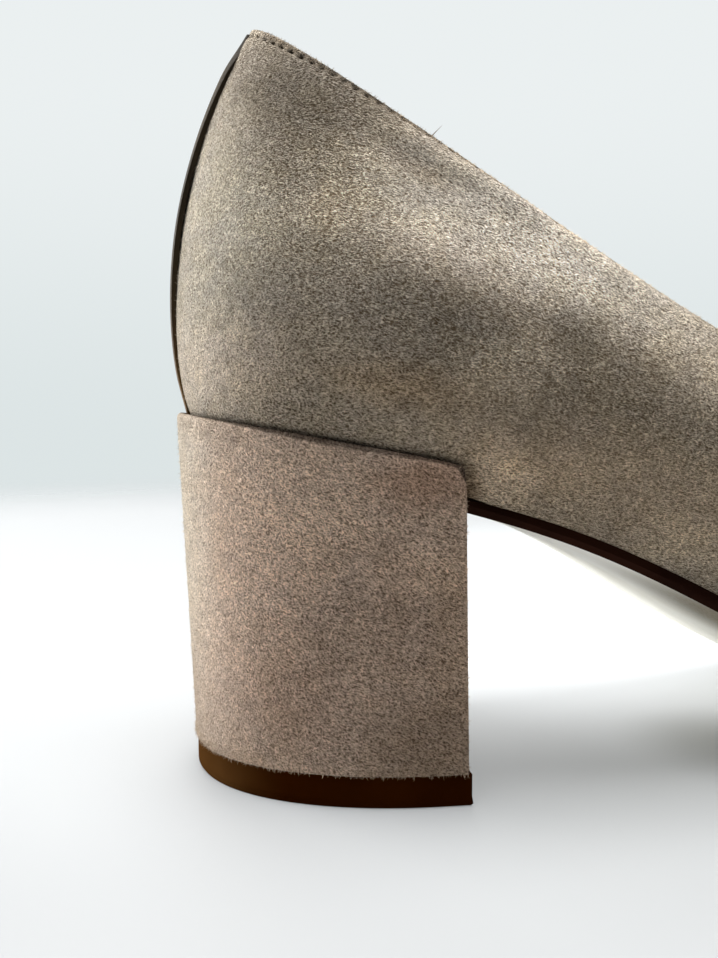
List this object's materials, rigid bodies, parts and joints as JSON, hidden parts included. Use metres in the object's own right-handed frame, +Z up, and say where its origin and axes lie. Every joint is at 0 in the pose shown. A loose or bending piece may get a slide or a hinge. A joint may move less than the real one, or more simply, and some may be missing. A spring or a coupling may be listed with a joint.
{
  "type": "block heel shoe",
  "caption": "Left suede court shoe on a covered block heel, with a low-cut top line, dark back strip, leather sole and rubber heel piece.",
  "frame": {"origin": "middle of the shoe's box on the floor", "axes": "+X towards the toe, +Y towards the outer side of the left foot, +Z up"},
  "size_m": [0.2444, 0.0812, 0.1094],
  "materials": {
    "taupe_suede": "napped suede, taupe",
    "strip_leather": "smooth dark brown leather",
    "footbed_leather": "smooth beige lining leather",
    "sole_leather": "polished pale sole leather with a dark edge",
    "heel_suede": "napped suede over a heel block, taupe",
    "brown_rubber": "semi-gloss brown rubber"
  },
  "bodies": {
    "root": {"upper": "taupe_suede", "back_strip": "strip_leather", "insole": "footbed_leather", "outsole": "sole_leather", "heel_block": "heel_suede", "top_piece": "brown_rubber"}
  },
  "joints": []
}
